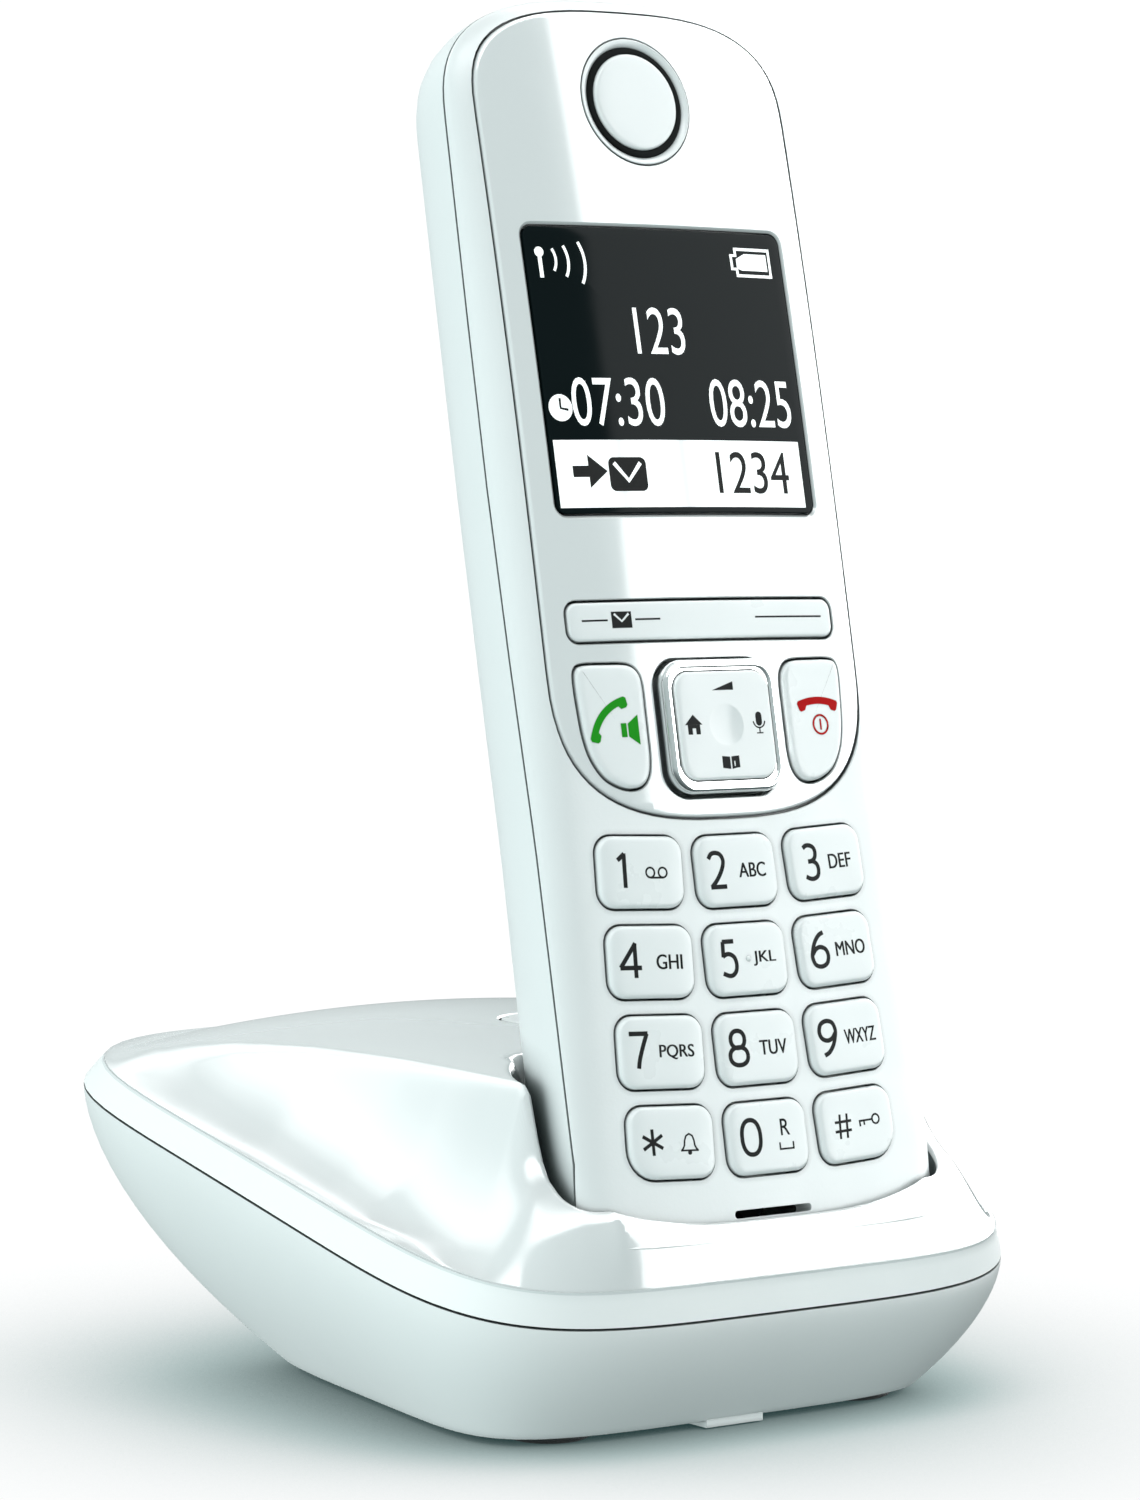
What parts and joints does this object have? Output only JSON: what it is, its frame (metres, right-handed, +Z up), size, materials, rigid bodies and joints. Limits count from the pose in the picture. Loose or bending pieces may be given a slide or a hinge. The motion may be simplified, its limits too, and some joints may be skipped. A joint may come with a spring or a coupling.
{
  "type": "cordless telephone",
  "caption": "Cordless telephone handset with keypad and display, standing upright in a small rounded charging base with a page key.",
  "frame": {"origin": "centre of the footprint, on the surface the base stands on", "axes": "+Z up, +X to the right of someone facing the keypad, front faces -Y"},
  "size_m": [0.0912, 0.0914, 0.1618],
  "materials": {
    "white_gloss": "polished white plastic",
    "white_matte": "fine matte white plastic",
    "key_white": "satin white plastic",
    "black": "black plastic",
    "rubber_black": "black rubber",
    "silicone": "grey silicone",
    "chrome": "mirror chrome plating",
    "steel": "plain steel",
    "gold": "gold plated strip",
    "board": "green circuit board",
    "glass_dark": "smoked clear window",
    "lcd": "display glass",
    "cell": "plain blue sleeve"
  },
  "bodies": {
    "base": {"base_bottom_shell": "white_matte", "base_top_cover": "white_gloss", "base_circuit_board": "board", "base_radio_shield": "steel", "page_switch": "black", "line_socket": "black", "power_socket": "black", "base_foot_front_left": "rubber_black", "base_foot_front_right": "rubber_black", "base_foot_back_left": "rubber_black", "base_foot_back_right": "rubber_black", "base_screw_left": "steel", "base_screw_right": "steel", "base_spring_contact_left": "gold", "base_spring_contact_right": "gold"},
    "handset": {"handset_front_shell": "white_matte", "handset_back_shell": "white_matte", "gloss_panel": "white_gloss", "display_window": "glass_dark", "display_module": "lcd", "earpiece_bezel": "chrome", "earpiece_mesh": "black", "earpiece_disc": "white_gloss", "receiver_capsule": "steel", "keypad_mat": "silicone", "handset_circuit_board": "board", "battery_cell_left": "cell", "battery_cell_right": "cell", "battery_contact_top": "steel", "battery_contact_bottom": "steel", "charge_contact_left": "gold", "charge_contact_right": "gold", "microphone_capsule": "steel", "ringer_speaker": "black", "handset_screw_left": "steel", "handset_screw_right": "steel"},
    "battery_cover": {"battery_cover": "white_matte"},
    "page_key": {"page_key": "key_white"},
    "nav_pivot": {"nav_pivot_plate": "steel"},
    "nav_key": {"nav_key_frame": "chrome", "nav_key_pad": "key_white"},
    "softkey_bar": {"softkey_bar": "key_white"},
    "talk_key": {"talk_key": "key_white"},
    "end_key": {"end_key": "key_white"},
    "key_1": {"key_1": "key_white"},
    "key_2": {"key_2": "key_white"},
    "key_3": {"key_3": "key_white"},
    "key_4": {"key_4": "key_white"},
    "key_5": {"key_5": "key_white"},
    "key_6": {"key_6": "key_white"},
    "key_7": {"key_7": "key_white"},
    "key_8": {"key_8": "key_white"},
    "key_9": {"key_9": "key_white"},
    "key_star": {"key_star": "key_white"},
    "key_0": {"key_0": "key_white"},
    "key_hash": {"key_hash": "key_white"}
  },
  "joints": [
    {"name": "handset_lift", "type": "slide", "parent": "base", "child": "handset", "axis": [0, 0.1934, 0.9811], "range_m": [0, 0.08]},
    {"name": "battery_cover_off", "type": "slide", "parent": "handset", "child": "battery_cover", "axis": [0, 0.9811, -0.1934], "range_m": [0, 0.012]},
    {"name": "page_key_press", "type": "slide", "parent": "base", "child": "page_key", "axis": [0, 0, -1], "range_m": [0, 0.0007], "stiffness_N_per_m": 500},
    {"name": "nav_rock_up_down", "type": "hinge", "parent": "handset", "child": "nav_pivot", "pos_m": [0, -0.02811, 0.07803], "axis": [1, 0, 0], "range_deg": [-3, 3], "stiffness_Nm_per_rad": 0.06},
    {"name": "nav_rock_left_right", "type": "hinge", "parent": "nav_pivot", "child": "nav_key", "pos_m": [0, -0.02845, 0.0781], "axis": [0, 0.1934, 0.9811], "range_deg": [-3, 3], "stiffness_Nm_per_rad": 0.06},
    {"name": "softkey_rock", "type": "hinge", "parent": "handset", "child": "softkey_bar", "pos_m": [0, -0.02636, 0.09028], "axis": [0, 0.1934, 0.9811], "range_deg": [-1.2, 1.2], "stiffness_Nm_per_rad": 0.08},
    {"name": "talk_key_press", "type": "slide", "parent": "handset", "child": "talk_key", "axis": [0, 0.9811, -0.1934], "range_m": [0, 0.0006], "stiffness_N_per_m": 500},
    {"name": "end_key_press", "type": "slide", "parent": "handset", "child": "end_key", "axis": [0, 0.9811, -0.1934], "range_m": [0, 0.0006], "stiffness_N_per_m": 500},
    {"name": "key_1_press", "type": "slide", "parent": "handset", "child": "key_1", "axis": [0, 0.9811, -0.1934], "range_m": [0, 0.0006], "stiffness_N_per_m": 500},
    {"name": "key_2_press", "type": "slide", "parent": "handset", "child": "key_2", "axis": [0, 0.9811, -0.1934], "range_m": [0, 0.0006], "stiffness_N_per_m": 500},
    {"name": "key_3_press", "type": "slide", "parent": "handset", "child": "key_3", "axis": [0, 0.9811, -0.1934], "range_m": [0, 0.0006], "stiffness_N_per_m": 500},
    {"name": "key_4_press", "type": "slide", "parent": "handset", "child": "key_4", "axis": [0, 0.9811, -0.1934], "range_m": [0, 0.0006], "stiffness_N_per_m": 500},
    {"name": "key_5_press", "type": "slide", "parent": "handset", "child": "key_5", "axis": [0, 0.9811, -0.1934], "range_m": [0, 0.0006], "stiffness_N_per_m": 500},
    {"name": "key_6_press", "type": "slide", "parent": "handset", "child": "key_6", "axis": [0, 0.9811, -0.1934], "range_m": [0, 0.0006], "stiffness_N_per_m": 500},
    {"name": "key_7_press", "type": "slide", "parent": "handset", "child": "key_7", "axis": [0, 0.9811, -0.1934], "range_m": [0, 0.0006], "stiffness_N_per_m": 500},
    {"name": "key_8_press", "type": "slide", "parent": "handset", "child": "key_8", "axis": [0, 0.9811, -0.1934], "range_m": [0, 0.0006], "stiffness_N_per_m": 500},
    {"name": "key_9_press", "type": "slide", "parent": "handset", "child": "key_9", "axis": [0, 0.9811, -0.1934], "range_m": [0, 0.0006], "stiffness_N_per_m": 500},
    {"name": "key_star_press", "type": "slide", "parent": "handset", "child": "key_star", "axis": [0, 0.9811, -0.1934], "range_m": [0, 0.0006], "stiffness_N_per_m": 500},
    {"name": "key_0_press", "type": "slide", "parent": "handset", "child": "key_0", "axis": [0, 0.9811, -0.1934], "range_m": [0, 0.0006], "stiffness_N_per_m": 500},
    {"name": "key_hash_press", "type": "slide", "parent": "handset", "child": "key_hash", "axis": [0, 0.9811, -0.1934], "range_m": [0, 0.0006], "stiffness_N_per_m": 500}
  ]
}
